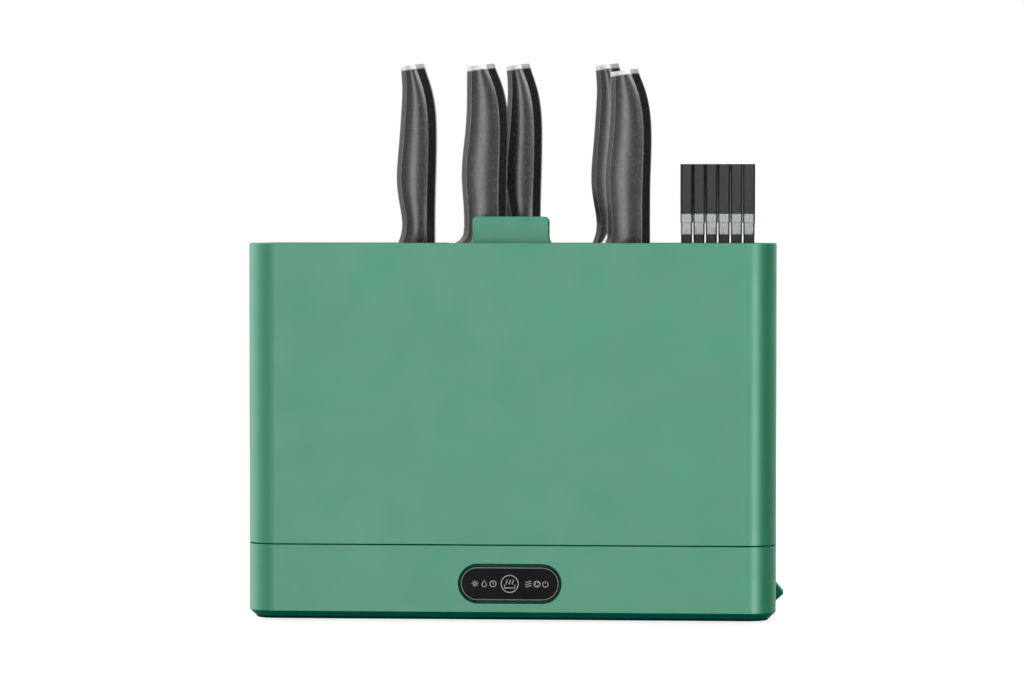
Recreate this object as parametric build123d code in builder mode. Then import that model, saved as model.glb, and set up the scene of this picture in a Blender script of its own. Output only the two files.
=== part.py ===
from build123d import *
from math import radians, sqrt, tan
import os

# Countertop steriliser and dryer box: a base with fan, heater, UV lights and two drip
# trays, and a lift-off upper housing that holds knives, a cutting board and chopsticks.
# X runs to the right, +Y to the back, Z up. The origin is the centre of the footprint,
# on the table. Every size is in millimetres.

os.makedirs("parts", exist_ok=True)

# ------------------------------------------------------------------ box
body_width = 345.0
body_depth = 130.0
corner_radius = 18.5
base_height = 48.9
housing_height = 196.4
wall = 2.8
floor_thickness = 3.0
bottom_chamfer = 5.3
seam_groove = 0.5
rim_round = 0.9
rim_inner_edge = 0.6
foot_stand = 1.5
lift_gap = 0.4
seat_gap = 0.2

underside_z = foot_stand
floor_top_z = underside_z + floor_thickness
seam_z = underside_z + base_height
rim_z = seam_z + housing_height
front_y = -body_depth / 2
back_y = body_depth / 2
inner_width = body_width - 2 * wall
inner_depth = body_depth - 2 * wall
inner_radius = corner_radius - wall
inner_chamfer = bottom_chamfer + wall * sqrt(2) - wall - floor_thickness

# ------------------------------------------------------------------ feet and screws
foot_radius = 7.0
foot_recess = 1.5
foot_edge = 0.5
foot_inset_x = 40.5
foot_inset_y = 29.0
screw_radius = 1.45
screw_head_radius = 3.0
screw_head_height = 1.6
screw_length = 14.0
screw_clearance = 0.2
pilot_clearance = 0.05
post_radius = 4.0
post_inset = 14.5
post_inset_y = 15.0
inner_post_gap = 7.0

# ------------------------------------------------------------------ drip trays
tray_side_room = 24.0
tray_opening_width = body_depth - 2 * tray_side_room
tray_opening_bottom = 7.7
tray_opening_top = 36.7
tray_end_gap = 1.5
tray_wall = 1.8
tray_floor = 2.0
tray_pan_height = 22.0
tray_front_thickness = 3.0
tray_corner = 4.0
tray_gap = 0.4
rail_width = 3.0
rail_side_room = 35.0
rail_spread = body_depth / 2 - rail_side_room
guide_height = 10.0
guide_thickness = 1.6
pull_reach = 5.35
pull_length = 20.0
pull_top_z = 21.7
pull_tip_z = 15.3
pull_bottom_z = 10.5
pull_round = 1.0

# ------------------------------------------------------------------ deck over the base
deck_thickness = 3.0
deck_recess = 3.0
spigot_height = 5.0
spigot_wall = 2.0
spigot_edge = 0.8
seal_thickness = 1.0
seal_width = 2.6
chamber_half = 57.0
chamber_wall = 2.0
drain_slot_width = 3.0
drain_slot_length = 64.0
drain_slot_pitch = 12.0
drain_margin = 6.0
outlet_slot_width = 3.0
outlet_slot_length = 48.0
outlet_slot_pitch = 6.0
outlet_slot_count = 8

# ------------------------------------------------------------------ control panel
panel_centre_z = 25.3
recess_step_side = 1.9
recess_step_rise = 2.3
recess_depth = 1.4
bezel_width = 63.8
bezel_height = 21.4
recess_width = bezel_width + 2 * recess_step_side
recess_height = bezel_height + 2 * recess_step_rise
bezel_rim = 0.7
lens_setback = 0.1
lens_gap = 0.02
lens_edge = 0.3
light_hole_width = 58.0
light_hole_height = 15.0
touch_board_width = 66.0
touch_board_height = 22.0
board_sheet = 1.2
led_size = 1.6
led_height = 0.9
led_spread = 20.0
led_count = 3

# ------------------------------------------------------------------ air, heat and light
fan_size = 60.0
fan_height = 15.0
fan_y = 8.0
fan_stand = 2.5
fan_bore_radius = 28.0
fan_corner = 4.0
fan_strut = 3.0
strut_overlap = 0.5
motor_radius = 10.0
motor_height = 7.0
motor_plate = 2.0
shaft_radius = 1.5
shaft_height = 11.0
shaft_fit = 0.05
shaft_end_gap = 0.4
impeller_radius = 26.5
impeller_hub_radius = 13.0
impeller_hub_wall = 1.4
impeller_hub_height = 10.0
impeller_boss_radius = 3.0
impeller_boss_height = 3.0
blade_count = 7
fan_blade_sheet = 1.4
fan_blade_chord = 12.0
fan_blade_pitch = 35.0
heater_height = 12.0
heater_wall = 2.5
fin_count = 10
fin_sheet = 0.8
element_thickness = 3.0
element_count = 2
duct_wall = 1.6
uv_x = 43.0
uv_window_radius = 9.0
uv_window_thickness = 1.4
uv_light_radius = 7.5
uv_board_radius = 9.5
uv_led_size = 3.5
uv_led_height = 1.2
intake_slot_width = 3.0
intake_slot_length = 22.0
intake_slot_pitch = 6.5
intake_slot_count = 8
intake_x = -21.5
intake_z = 24.0
floor_slot_length = 40.0

# ------------------------------------------------------------------ power parts
main_board_width = 100.0
main_board_depth = 28.0
main_board_y = -42.0
main_board_stand = 3.5
main_board_sheet = 1.6
main_board_corner = 1.5
standoff_margin = 1.0
standoff_radius = 2.5
transformer_size = (22.0, 18.0, 16.0)
transformer_x = -30.0
core_overhang = 2.0
capacitor_radius = 5.0
capacitor_height = 16.0
capacitor_x = 6.0
capacitor_pitch = 13.0
capacitor_count = 2
capacitor_edge = 0.8
relay_size = (15.0, 12.0, 12.0)
relay_x = 38.0
inlet_x = 38.0
inlet_z = 24.0
inlet_face_width = 20.0
inlet_face_height = 12.0
inlet_flange = 3.0
inlet_flange_thickness = 2.0
inlet_body_depth = 12.0
inlet_corner = 2.0
socket_width = 15.0
socket_height = 8.6
socket_depth = 10.0
pin_radius = 1.2
pin_length = 8.0
pin_pitch = 8.6

# ------------------------------------------------------------------ upper housing
flange_lift = 0.6
flange_width = 4.0
flange_thickness = 2.0
rib_thickness = 2.4
rib_depth = 4.0
rib_spread = 112.0
grille_thickness = 2.5
grille_slot_length = 68.0
grille_slot_width = 4.0
grille_slot_pitch_x = 76.0
grille_margin = 8.0
grille_rows = 9
grille_bars_per_row = 5
divider_thickness = 2.0
divider_slot_width = 5.0
divider_slot_length = 120.0
divider_slot_pitch = 16.0
divider_margin = 14.0
groove_lip = 1.6
groove_gap = 0.2

# ------------------------------------------------------------------ cutting board
board_end_room = 19.7
board_thickness = 8.0
board_room = 1.2
board_below_rim = 1.8
board_corner = 10.0
board_edge = 0.8
tab_width = 50.0
tab_height = 19.0
tab_corner = 3.4
tab_root = 6.0

# ------------------------------------------------------------------ knife rack
rack_below_rim = 9.0
rack_thickness = 2.5
front_row_setback = 28.0
row_pitch = 43.0
slot_width = 5.0
slot_room = 2.0
collar_wall = 1.6
collar_depth = 14.0
basket_width = 62.0
basket_depth = 72.0
basket_inset = 39.0
basket_wall = 1.8
basket_floor = 2.0
basket_corner = 6.0
basket_flange = 3.0
basket_flange_thickness = 1.8
basket_gap = 0.6
basket_bottom_gap = 0.8
basket_slot_width = 4.0
basket_slot_length = 110.0
basket_slot_pitch = 10.0
basket_slots_wide = 5
basket_slots_deep = 6
basket_drain_width = 3.6
basket_drain_margin = 6.0

# ------------------------------------------------------------------ knives
handle_thickness = 19.0
handle_end_thickness = 16.5
belly_bevel = 3.2
spine_bevel = 5.2
face_crown = 0.9
slim_butt_height = 126.8
broad_butt_height = 121.3
blank_allowance = 5.4
broad_below_rim = 5.0
chef_drop = 3.6
cap_thickness = 2.8
butt_slope = 7.5
blade_sheet = 2.2
spine_inset = 1.0
edge_bevel_width = 5.0
edge_land = 0.3
tip_drop = 2.0
tip_slope = 0.12
curve_share = 0.5
tang_width = 11.0
tang_length = 82.0
tang_room = 0.1
guard_thickness = 9.0
guard_radius = 14.2
guard_centre_rise = 18.7
guard_start = 14.5
slicing_to_cleaver = 51.1
slicing_width = 31.0
slicing_length = 170.0
cleaver_to_utility = 19.8
cleaver_width = 80.0
utility_to_paring = 59.6
utility_width = 30.0
utility_length = 145.0
paring_to_chef = 15.2
paring_width = 29.0
paring_length = 105.0
chef_to_basket = 44.1
chef_width = 54.0

# ------------------------------------------------------------------ chopsticks
chopstick_count = 6
chopstick_pitch = 8.25
chopstick_above_rim = 52.2
chopstick_width = 8.15
chopstick_neck_width = 8.1
chopstick_lower_width = 7.3
chopstick_tip_width = 5.2
chopstick_bevel = 1.1
chopstick_core_width = 6.6
band_below_top = 33.0
band_collar_height = 5.8
band_sleeve_height = 7.8
band_collar_width = 8.1
band_sleeve_width = 7.6

# ------------------------------------------------------------------ levels and lines that follow
# Half-width of the search for corners and edges that lie on a known line.
near = 0.01

foot_x = body_width / 2 - foot_inset_x
foot_y = body_depth / 2 - foot_inset_y
post_x = body_width / 2 - post_inset
post_y = body_depth / 2 - post_inset_y
rail_inner_x = chamber_half + chamber_wall
inner_post_x = rail_inner_x + inner_post_gap
deck_top_z = seam_z - deck_recess
deck_bottom_z = deck_top_z - deck_thickness
spigot_width = inner_width - 2 * lift_gap
spigot_depth = inner_depth - 2 * lift_gap
spigot_radius = inner_radius - lift_gap
flange_z = seam_z + spigot_height + flange_lift
grille_z = flange_z + flange_thickness
grille_top_z = grille_z + grille_thickness
rack_top_z = rim_z - rack_below_rim
rack_z = rack_top_z - rack_thickness
board_front_y = front_y + wall + rib_depth + board_room
board_back_y = board_front_y + board_thickness
divider_front_y = board_back_y + board_room
divider_back_y = divider_front_y + divider_thickness
front_row_y = divider_front_y + front_row_setback
back_row_y = front_row_y + row_pitch
basket_x = body_width / 2 - basket_inset
basket_y = front_row_y + row_pitch / 2
chef_spine_x = basket_x - chef_to_basket
paring_spine_x = chef_spine_x - paring_to_chef
utility_spine_x = paring_spine_x - utility_to_paring
cleaver_spine_x = utility_spine_x - cleaver_to_utility
slicing_spine_x = cleaver_spine_x - slicing_to_cleaver
basket_bottom_z = grille_top_z + basket_bottom_gap
chopstick_foot_z = basket_bottom_z + basket_floor + seat_gap
fan_z = floor_top_z + fan_stand
heater_z = fan_z + fan_height
duct_z = heater_z + heater_height
main_board_z = floor_top_z + main_board_stand
main_board_top_z = main_board_z + main_board_sheet
panel_plane = Plane.XZ.offset(-front_y)
rear_plane = Plane.XZ.offset(-back_y)


def save(builder, node):
    """Label a finished piece and write it under its node name."""
    builder.part.label = node
    export_step(builder.part, f"parts/{node}.step")


def mirrored(*points):
    """Each (x, y) point in all four quarters of the footprint."""
    return [(sx * x, sy * y) for x, y in points for sx in (-1, 1) for sy in (-1, 1)]


def at_height(points, z):
    """The (x, y) points lifted to one height."""
    return [(x, y, z) for x, y in points]


post_points = mirrored((post_x, post_y)) + [(-inner_post_x, post_y), (inner_post_x, post_y)]
foot_points = mirrored((foot_x, foot_y))
standoff_inset = standoff_radius + standoff_margin
standoff_x = main_board_width / 2 - standoff_inset
standoff_y = main_board_depth / 2 - standoff_inset
standoff_points = [(x, main_board_y + y) for x, y in mirrored((standoff_x, standoff_y))]
fan_post_offset = fan_size / 2 - fan_corner
fan_post_points = [(x, fan_y + y) for x, y in mirrored((fan_post_offset, fan_post_offset))]

# ================================================================== base
with BuildPart() as base_cavity:
    with BuildSketch(Plane.XY.offset(floor_top_z)):
        RectangleRounded(inner_width, inner_depth, inner_radius)
    extrude(amount=seam_z - floor_top_z)
    chamfer(base_cavity.faces().sort_by(Axis.Z)[0].edges(), length=inner_chamfer)

tray_opening_height = tray_opening_top - tray_opening_bottom
tray_opening_z = (tray_opening_top + tray_opening_bottom) / 2
chamber_wall_height = deck_bottom_z - seal_thickness - floor_top_z
chamber_wall_x = chamber_half + chamber_wall / 2
rail_outer_x = body_width / 2 - wall - inner_chamfer
rail_length = rail_outer_x - rail_inner_x
rail_x = (rail_outer_x + rail_inner_x) / 2
rail_height = tray_opening_bottom - floor_top_z
guide_y = tray_opening_width / 2 + guide_thickness / 2
rail_points = mirrored((rail_x, rail_spread))
guide_points = mirrored((rail_x, guide_y))

with BuildPart() as base_shell:
    with BuildSketch(Plane.XY.offset(underside_z)):
        RectangleRounded(body_width, body_depth, corner_radius)
    extrude(amount=base_height)
    chamfer(base_shell.faces().sort_by(Axis.Z)[0].edges(), length=bottom_chamfer)
    chamfer(base_shell.faces().sort_by(Axis.Z)[-1].edges(), length=seam_groove)
    add(base_cavity.part, mode=Mode.SUBTRACT)
    with Locations((0, 0, tray_opening_z)):
        Box(2 * body_width, tray_opening_width, tray_opening_height, mode=Mode.SUBTRACT)
    # Walls of the dry chamber in the middle, rails and side guides for the trays.
    with BuildSketch(Plane.XY.offset(floor_top_z)):
        with Locations((-chamber_wall_x, 0), (chamber_wall_x, 0)):
            Rectangle(chamber_wall, inner_depth)
    extrude(amount=chamber_wall_height)
    with BuildSketch(Plane.XY.offset(floor_top_z)):
        with Locations(*rail_points):
            Rectangle(rail_length, rail_width)
    extrude(amount=rail_height)
    with BuildSketch(Plane.XY.offset(floor_top_z)):
        with Locations(*guide_points):
            Rectangle(rail_length, guide_thickness)
    extrude(amount=rail_height + guide_height)
    # Seats for the circuit board and the fan.
    with BuildSketch(Plane.XY.offset(floor_top_z)):
        with Locations(*standoff_points):
            Circle(standoff_radius)
    extrude(amount=main_board_stand)
    with BuildSketch(Plane.XY.offset(floor_top_z)):
        with Locations(*fan_post_points):
            Rectangle(2 * fan_corner, 2 * fan_corner)
    extrude(amount=fan_stand)
    # Stepped window for the control panel.
    with BuildSketch(panel_plane):
        with Locations((0, panel_centre_z)):
            SlotOverall(recess_width, recess_height)
    extrude(amount=-recess_depth, mode=Mode.SUBTRACT)
    with BuildSketch(panel_plane):
        with Locations((0, panel_centre_z)):
            SlotOverall(light_hole_width, light_hole_height)
    extrude(amount=-wall, mode=Mode.SUBTRACT)
    # Rear: air intake slots and the hole for the power inlet.
    with BuildSketch(rear_plane):
        with Locations((intake_x, intake_z)):
            with GridLocations(intake_slot_pitch, 0, intake_slot_count, 1):
                Rectangle(intake_slot_width, intake_slot_length)
        with Locations((inlet_x, inlet_z)):
            RectangleRounded(inlet_face_width + 2 * seat_gap, inlet_face_height + 2 * seat_gap, inlet_corner)
    extrude(amount=wall, mode=Mode.SUBTRACT)
    # Underside: foot recesses, screw holes and air slots below the fan.
    with Locations(*at_height(foot_points, underside_z)):
        Cylinder(
            foot_radius + seat_gap,
            foot_recess,
            align=(Align.CENTER, Align.CENTER, Align.MIN),
            mode=Mode.SUBTRACT,
        )
    with Locations(*at_height(post_points, underside_z)):
        Cylinder(screw_radius + screw_clearance, 2 * floor_thickness, mode=Mode.SUBTRACT)
        Cylinder(screw_head_radius + screw_clearance, 2 * screw_head_height, mode=Mode.SUBTRACT)
    with BuildSketch(Plane.XY.offset(underside_z)):
        with Locations((0, fan_y)):
            with GridLocations(outlet_slot_pitch, 0, outlet_slot_count - 1, 1):
                Rectangle(outlet_slot_width, floor_slot_length)
    extrude(amount=floor_thickness, mode=Mode.SUBTRACT)
save(base_shell, "base_shell")

with BuildPart() as rubber_feet:
    with BuildSketch():
        with Locations(*foot_points):
            Circle(foot_radius)
    extrude(amount=foot_stand + foot_recess)
    chamfer(rubber_feet.faces().group_by(Axis.Z)[0].edges(), length=foot_edge)
save(rubber_feet, "rubber_feet")

with BuildPart() as base_screws:
    with BuildSketch(Plane.XY.offset(underside_z)):
        with Locations(*post_points):
            Circle(screw_head_radius)
    extrude(amount=screw_head_height)
    with BuildSketch(Plane.XY.offset(underside_z + screw_head_height)):
        with Locations(*post_points):
            Circle(screw_radius)
    extrude(amount=screw_length)
save(base_screws, "base_screws")

# ================================================================== deck
drain_outer_x = spigot_width / 2 - spigot_wall
drain_centre_x = (rail_inner_x + drain_outer_x) / 2
drain_slot_count = int((drain_outer_x - rail_inner_x - 2 * drain_margin) / drain_slot_pitch)
drain_points = [(-drain_centre_x, 0), (drain_centre_x, 0)]
uv_points = [(-uv_x, fan_y), (uv_x, fan_y)]

with BuildPart() as deck:
    with BuildSketch(Plane.XY.offset(deck_bottom_z)):
        RectangleRounded(spigot_width, spigot_depth, spigot_radius)
    extrude(amount=deck_thickness)
    with BuildSketch(Plane.XY.offset(deck_top_z)):
        RectangleRounded(spigot_width, spigot_depth, spigot_radius)
        offset(amount=-spigot_wall, mode=Mode.SUBTRACT)
    extrude(amount=deck_recess + spigot_height)
    chamfer(deck.faces().sort_by(Axis.Z)[-1].outer_wire().edges(), length=spigot_edge)
    with BuildSketch(Plane.XY.offset(floor_top_z)):
        with Locations(*post_points):
            Circle(post_radius)
    extrude(amount=deck_bottom_z - floor_top_z)
    with Locations(*at_height(post_points, floor_top_z)):
        Cylinder(screw_radius + pilot_clearance, 2 * screw_length, mode=Mode.SUBTRACT)
    # Water drains through slots over the trays, warm air rises through the middle ones.
    with BuildSketch(Plane.XY.offset(deck_bottom_z)):
        with Locations(*drain_points):
            with GridLocations(drain_slot_pitch, 0, drain_slot_count, 1):
                Rectangle(drain_slot_width, drain_slot_length)
        with Locations((0, fan_y)):
            with GridLocations(outlet_slot_pitch, 0, outlet_slot_count, 1):
                Rectangle(outlet_slot_width, outlet_slot_length)
        with Locations(*uv_points):
            Circle(uv_light_radius)
    extrude(amount=deck_thickness, mode=Mode.SUBTRACT)
    with Locations(*at_height(uv_points, deck_top_z)):
        Cylinder(uv_window_radius + seat_gap, 2 * uv_window_thickness, mode=Mode.SUBTRACT)
save(deck, "deck")

with BuildPart() as chamber_seals:
    with BuildSketch(Plane.XY.offset(deck_bottom_z - seal_thickness)):
        with Locations((-chamber_wall_x, 0), (chamber_wall_x, 0)):
            Rectangle(seal_width, inner_depth - 2 * lift_gap)
    extrude(amount=seal_thickness)
save(chamber_seals, "chamber_seals")

with BuildPart() as uv_windows:
    with BuildSketch(Plane.XY.offset(deck_top_z - uv_window_thickness)):
        with Locations(*uv_points):
            Circle(uv_window_radius)
    extrude(amount=uv_window_thickness)
save(uv_windows, "uv_windows")

with BuildPart() as uv_boards:
    with BuildSketch(Plane.XY.offset(deck_bottom_z - board_sheet)):
        with Locations(*uv_points):
            Circle(uv_board_radius)
    extrude(amount=board_sheet)
    with BuildSketch(Plane.XY.offset(deck_bottom_z)):
        with Locations(*uv_points):
            Rectangle(uv_led_size, uv_led_size)
    extrude(amount=uv_led_height)
save(uv_boards, "uv_boards")

# ================================================================== control panel
pocket_plane = panel_plane.offset(-recess_depth)
lens_width = bezel_width - 2 * bezel_rim
lens_height = bezel_height - 2 * bezel_rim

with BuildPart() as panel_bezel:
    with BuildSketch(pocket_plane):
        with Locations((0, panel_centre_z)):
            SlotOverall(bezel_width, bezel_height)
            SlotOverall(lens_width, lens_height, mode=Mode.SUBTRACT)
    extrude(amount=recess_depth)
save(panel_bezel, "panel_bezel")

with BuildPart() as panel_lens:
    with BuildSketch(pocket_plane):
        with Locations((0, panel_centre_z)):
            SlotOverall(lens_width - 2 * lens_gap, lens_height - 2 * lens_gap)
    extrude(amount=recess_depth - lens_setback)
    chamfer(panel_lens.faces().sort_by(Axis.Y)[0].edges(), length=lens_edge)
save(panel_lens, "panel_lens")

inner_wall_plane = panel_plane.offset(-wall)
with BuildPart() as touch_board:
    with BuildSketch(inner_wall_plane):
        with Locations((0, panel_centre_z)):
            Rectangle(touch_board_width, touch_board_height)
    extrude(amount=-board_sheet)
save(touch_board, "touch_board")

with BuildPart() as status_leds:
    with BuildSketch(inner_wall_plane):
        with Locations((0, panel_centre_z)):
            with GridLocations(led_spread, 0, led_count, 1):
                Rectangle(led_size, led_size)
    extrude(amount=led_height)
save(status_leds, "status_leds")

# ================================================================== fan, heater and duct
with BuildPart() as fan_frame:
    with BuildSketch(Plane.XY.offset(fan_z)):
        with Locations((0, fan_y)):
            RectangleRounded(fan_size, fan_size, fan_corner)
            Circle(fan_bore_radius, mode=Mode.SUBTRACT)
    extrude(amount=fan_height)
    with BuildSketch(Plane.XY.offset(fan_z)):
        with Locations((0, fan_y)):
            Circle(motor_radius)
            Rectangle(2 * (fan_bore_radius + strut_overlap), fan_strut, rotation=45)
            Rectangle(2 * (fan_bore_radius + strut_overlap), fan_strut, rotation=-45)
    extrude(amount=motor_plate)
save(fan_frame, "fan_frame")

motor_z = fan_z + motor_plate
with BuildPart() as fan_motor:
    with BuildSketch(Plane.XY.offset(motor_z)):
        with Locations((0, fan_y)):
            Circle(motor_radius)
    extrude(amount=motor_height)
    with BuildSketch(Plane.XY.offset(motor_z + motor_height)):
        with Locations((0, fan_y)):
            Circle(shaft_radius)
    extrude(amount=shaft_height - motor_height)
save(fan_motor, "fan_motor")

hub_top_z = motor_z + shaft_height + shaft_end_gap
hub_bottom_z = hub_top_z - impeller_hub_height
blade_middle_z = (hub_top_z + hub_bottom_z) / 2
blade_span = impeller_radius - impeller_hub_radius + impeller_hub_wall / 2
blade_radius = impeller_radius - blade_span / 2
with BuildPart() as fan_impeller:
    with BuildSketch(Plane.XY.offset(hub_bottom_z)):
        with Locations((0, fan_y)):
            Circle(impeller_hub_radius)
    extrude(amount=impeller_hub_height)
    with BuildSketch(Plane.XY.offset(hub_bottom_z)):
        with Locations((0, fan_y)):
            Circle(impeller_hub_radius - impeller_hub_wall)
            Circle(impeller_boss_radius, mode=Mode.SUBTRACT)
    extrude(amount=impeller_hub_height - impeller_hub_wall, mode=Mode.SUBTRACT)
    with BuildSketch(Plane.XY.offset(hub_bottom_z)):
        with Locations((0, fan_y)):
            Circle(impeller_boss_radius)
    extrude(amount=impeller_hub_height - impeller_hub_wall - impeller_boss_height, mode=Mode.SUBTRACT)
    with Locations((0, fan_y, blade_middle_z)):
        with PolarLocations(blade_radius, blade_count):
            Box(blade_span, fan_blade_chord, fan_blade_sheet, rotation=(fan_blade_pitch, 0, 0))
    with Locations((0, fan_y, hub_bottom_z)):
        Cylinder(shaft_radius + shaft_fit, 2 * impeller_hub_height, mode=Mode.SUBTRACT)
save(fan_impeller, "fan_impeller")

heater_inside = fan_size - 2 * heater_wall
with BuildPart() as heater_frame:
    with BuildSketch(Plane.XY.offset(heater_z)):
        with Locations((0, fan_y)):
            RectangleRounded(fan_size, fan_size, fan_corner)
            Rectangle(heater_inside, heater_inside, mode=Mode.SUBTRACT)
    extrude(amount=heater_height)
save(heater_frame, "heater_frame")

element_length = heater_inside
bank_count = element_count + 1
bank_width = (heater_inside - element_count * element_thickness) / bank_count
bank_pitch = bank_width + element_thickness
with BuildPart() as heater_elements:
    with BuildSketch(Plane.XY.offset(heater_z)):
        with Locations((0, fan_y)):
            with GridLocations(0, bank_pitch, 1, element_count):
                Rectangle(element_length, element_thickness)
    extrude(amount=heater_height)
save(heater_elements, "heater_elements")

fin_pitch = (element_length - fin_sheet) / (fin_count - 1)
with BuildPart() as heater_fins:
    with BuildSketch(Plane.XY.offset(heater_z)):
        with Locations((0, fan_y)):
            with GridLocations(0, bank_pitch, 1, bank_count):
                Rectangle(element_length, fin_sheet)
            with GridLocations(fin_pitch, bank_pitch, fin_count, bank_count):
                Rectangle(fin_sheet, bank_width)
    extrude(amount=heater_height)
save(heater_fins, "heater_fins")

with BuildPart() as air_duct:
    with BuildSketch(Plane.XY.offset(duct_z)):
        with Locations((0, fan_y)):
            RectangleRounded(fan_size, fan_size, fan_corner)
            Rectangle(fan_size - 2 * duct_wall, fan_size - 2 * duct_wall, mode=Mode.SUBTRACT)
    extrude(amount=deck_bottom_z - duct_z)
save(air_duct, "air_duct")

# ================================================================== power parts
with BuildPart() as main_board:
    with BuildSketch(Plane.XY.offset(main_board_z)):
        with Locations((0, main_board_y)):
            RectangleRounded(main_board_width, main_board_depth, main_board_corner)
    extrude(amount=main_board_sheet)
save(main_board, "main_board")

with BuildPart() as transformer:
    with Locations((transformer_x, main_board_y, main_board_top_z)):
        Box(*transformer_size, align=(Align.CENTER, Align.CENTER, Align.MIN))
    with Locations((transformer_x, main_board_y, main_board_top_z + transformer_size[2] / 2)):
        Box(transformer_size[0] + 2 * core_overhang, transformer_size[1] / 2, transformer_size[2] / 2)
save(transformer, "transformer")

with BuildPart() as capacitors:
    with BuildSketch(Plane.XY.offset(main_board_top_z)):
        with Locations((capacitor_x, main_board_y)):
            with GridLocations(capacitor_pitch, 0, capacitor_count, 1):
                Circle(capacitor_radius)
    extrude(amount=capacitor_height)
    chamfer(capacitors.faces().group_by(Axis.Z)[-1].edges(), length=capacitor_edge)
save(capacitors, "capacitors")

with BuildPart() as relay:
    with Locations((relay_x, main_board_y, main_board_top_z)):
        Box(*relay_size, align=(Align.CENTER, Align.CENTER, Align.MIN))
save(relay, "relay")

with BuildPart() as power_inlet:
    with BuildSketch(rear_plane):
        with Locations((inlet_x, inlet_z)):
            RectangleRounded(inlet_face_width, inlet_face_height, inlet_corner - seat_gap)
    extrude(amount=inlet_body_depth)
    with BuildSketch(rear_plane.offset(wall)):
        with Locations((inlet_x, inlet_z)):
            RectangleRounded(
                inlet_face_width + 2 * inlet_flange,
                inlet_face_height + 2 * inlet_flange,
                inlet_corner,
            )
    extrude(amount=inlet_flange_thickness)
    with BuildSketch(rear_plane):
        with Locations((inlet_x, inlet_z)):
            SlotOverall(socket_width, socket_height)
    extrude(amount=socket_depth, mode=Mode.SUBTRACT)
save(power_inlet, "power_inlet")

with BuildPart() as inlet_pins:
    with BuildSketch(rear_plane.offset(socket_depth)):
        with Locations((inlet_x, inlet_z)):
            with GridLocations(pin_pitch, 0, 2, 1):
                Circle(pin_radius)
    extrude(amount=-pin_length)
save(inlet_pins, "inlet_pins")

# ================================================================== drip trays
tray_length = body_width / 2 - rail_inner_x - tray_end_gap
tray_pan_width = tray_opening_width - 2 * tray_gap
tray_bottom_z = tray_opening_bottom + tray_gap
tray_front_height = tray_opening_height - 2 * tray_gap
pull_slope = (pull_top_z - pull_tip_z) / pull_reach


def make_tray(side, node):
    """A pull-out drip tray: a pan behind a flush front with a finger pull."""
    outer_x = side * body_width / 2
    pan_x = outer_x - side * tray_length / 2
    front_x = outer_x - side * tray_front_thickness / 2
    pan_inner_length = tray_length - tray_wall - tray_front_thickness
    pan_inner_x = pan_x - side * (tray_front_thickness - tray_wall) / 2
    pull_plane = Plane.XZ.offset(pull_length / 2)
    with BuildPart() as tray:
        with BuildSketch(Plane.XY.offset(tray_bottom_z)):
            with Locations((pan_x, 0)):
                Rectangle(tray_length, tray_pan_width)
        extrude(amount=tray_pan_height)
        rear_edges = tray.edges().filter_by(Axis.Z).sort_by(Axis.X, reverse=side > 0)[-2:]
        fillet(rear_edges, radius=tray_corner)
        with BuildSketch(Plane.XY.offset(tray_bottom_z + tray_floor)):
            with Locations((pan_inner_x, 0)):
                RectangleRounded(pan_inner_length, tray_pan_width - 2 * tray_wall, tray_corner - tray_wall)
        extrude(amount=tray_pan_height, mode=Mode.SUBTRACT)
        with BuildSketch(Plane.XY.offset(tray_bottom_z)):
            with Locations((front_x, 0)):
                Rectangle(tray_front_thickness, tray_pan_width)
        extrude(amount=tray_front_height)
        with BuildSketch(pull_plane):
            with BuildLine():
                Polyline(
                    (outer_x - side, pull_top_z + pull_slope),
                    (outer_x + side * pull_reach, pull_tip_z),
                    (outer_x, pull_bottom_z),
                    (outer_x - side, pull_bottom_z),
                    close=True,
                )
            make_face()
        extrude(amount=-pull_length)
        tip_edge = tray.edges().filter_by(Axis.Y).sort_by(Axis.X, reverse=side < 0)[-1]
        fillet(tip_edge, radius=pull_round)
    save(tray, node)


make_tray(-1, "drip_tray_left")
make_tray(1, "drip_tray_right")

# ================================================================== upper housing
long_rib_y = (inner_depth - rib_depth) / 2
long_wall_ribs = [(x, y) for x in (-rib_spread, 0, rib_spread) for y in (-long_rib_y, long_rib_y)]
groove_rib_x = (inner_width - rib_depth) / 2
groove_front_y = divider_front_y - groove_gap - groove_lip / 2
groove_back_y = divider_back_y + groove_gap + groove_lip / 2
groove_ribs = [(x, y) for x in (-groove_rib_x, groove_rib_x) for y in (groove_front_y, groove_back_y)]

with BuildPart() as housing_shell:
    with BuildSketch(Plane.XY.offset(seam_z)):
        RectangleRounded(body_width, body_depth, corner_radius)
        RectangleRounded(inner_width, inner_depth, inner_radius, mode=Mode.SUBTRACT)
    extrude(amount=housing_height)
    fillet(housing_shell.faces().sort_by(Axis.Z)[-1].outer_wire().edges(), radius=rim_round)
    chamfer(housing_shell.faces().sort_by(Axis.Z)[-1].inner_wires().edges(), length=rim_inner_edge)
    chamfer(housing_shell.faces().sort_by(Axis.Z)[0].outer_wire().edges(), length=seam_groove)
    # Inner flange that carries the floor grille, ribs that carry the rack and hold the
    # board off the wall, and grooves for the divider.
    with BuildSketch(Plane.XY.offset(flange_z)):
        RectangleRounded(inner_width, inner_depth, inner_radius)
        RectangleRounded(
            inner_width - 2 * flange_width,
            inner_depth - 2 * flange_width,
            inner_radius - flange_width,
            mode=Mode.SUBTRACT,
        )
    extrude(amount=flange_thickness)
    with BuildSketch(Plane.XY.offset(flange_z)):
        with Locations(*long_wall_ribs):
            Rectangle(rib_thickness, rib_depth)
        with Locations(*groove_ribs):
            Rectangle(rib_depth, groove_lip)
    extrude(amount=rack_z - flange_z)
save(housing_shell, "housing_shell")

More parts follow.
